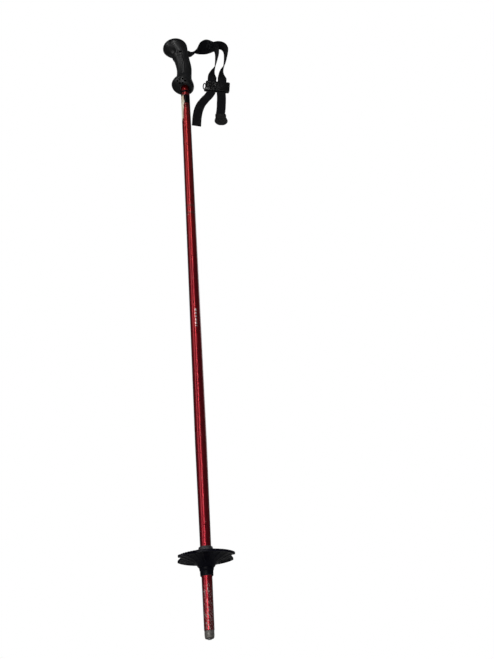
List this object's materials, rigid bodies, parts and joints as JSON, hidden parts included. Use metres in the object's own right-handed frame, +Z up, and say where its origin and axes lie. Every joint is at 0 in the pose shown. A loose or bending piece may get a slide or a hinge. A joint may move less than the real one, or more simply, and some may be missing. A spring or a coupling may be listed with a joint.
{
  "type": "ski pole",
  "caption": "Alpine ski pole: tapered metal tube, moulded grip with hooked pommel, webbing wrist strap with slider, notched turning basket and worn metal tip.",
  "frame": {"origin": "centre of the flat end of the tip", "axes": "+Z up the tube to the grip, +X towards the back of the grip where the strap leaves it, +Y across the grip"},
  "size_m": [0.1381, 0.086, 1.2],
  "materials": {
    "red_tube": "clear-coated red anodised aluminium, scratched",
    "worn_metal": "dull worn metal",
    "steel": "plain steel",
    "basket_plastic": "moulded plastic with a blue-black tint",
    "hub_plastic": "grey moulded plastic",
    "grip_rubber": "finely grained black moulding",
    "core_plastic": "hard black moulding",
    "webbing": "woven black webbing",
    "slider_plastic": "satin black moulding, scuffed on its edges",
    "tab_rubber": "matt black moulding",
    "label_film": "torn, yellowed label without any print"
  },
  "bodies": {
    "pole": {"shaft": "red_tube", "tip_ferrule": "worn_metal", "tip_point": "steel", "grip_shell": "grip_rubber", "grip_cap": "grip_rubber", "grip_core": "core_plastic", "strap_screw": "steel", "screw_nut": "steel", "strap_anchor": "webbing", "size_label": "label_film"},
    "basket": {"basket_hub": "hub_plastic", "basket_lock_ring": "basket_plastic", "basket_plate": "basket_plastic"},
    "strap_band": {"band_outer": "webbing", "band_inner": "webbing"},
    "wrist_loop": {"strand_inner": "webbing", "strand_outer": "webbing"},
    "slider": {"slider_frame": "slider_plastic", "slider_bar": "steel"},
    "tab_tail": {"tab_webbing": "webbing", "end_tab": "tab_rubber"},
    "plain_tail": {"plain_webbing": "webbing"}
  },
  "joints": [
    {"name": "basket_turn", "type": "hinge", "parent": "pole", "child": "basket", "pos_m": [0, 0, 0.0985], "axis": [0, 0, 1], "continuous": true},
    {"name": "strap_swing", "type": "hinge", "parent": "pole", "child": "strap_band", "pos_m": [0.01222, 0, 1.16445], "axis": [0, 0, 1], "range_deg": [-45, 45]},
    {"name": "loop_swing", "type": "hinge", "parent": "strap_band", "child": "wrist_loop", "pos_m": [0.0675, 0, 1.19], "axis": [0, 1, 0], "range_deg": [-80, 0]},
    {"name": "slider_slide", "type": "slide", "parent": "wrist_loop", "child": "slider", "axis": [0.1045, 0, 0.9945], "range_m": [0, 0.012]},
    {"name": "tab_tail_swing", "type": "hinge", "parent": "wrist_loop", "child": "tab_tail", "pos_m": [0.0756, 0, 1.03899], "axis": [0.9945, 0, -0.1045], "range_deg": [-50, 50]},
    {"name": "plain_tail_swing", "type": "hinge", "parent": "wrist_loop", "child": "plain_tail", "pos_m": [0.05422, 0, 1.04123], "axis": [0.9945, 0, -0.1045], "range_deg": [-50, 50]}
  ]
}
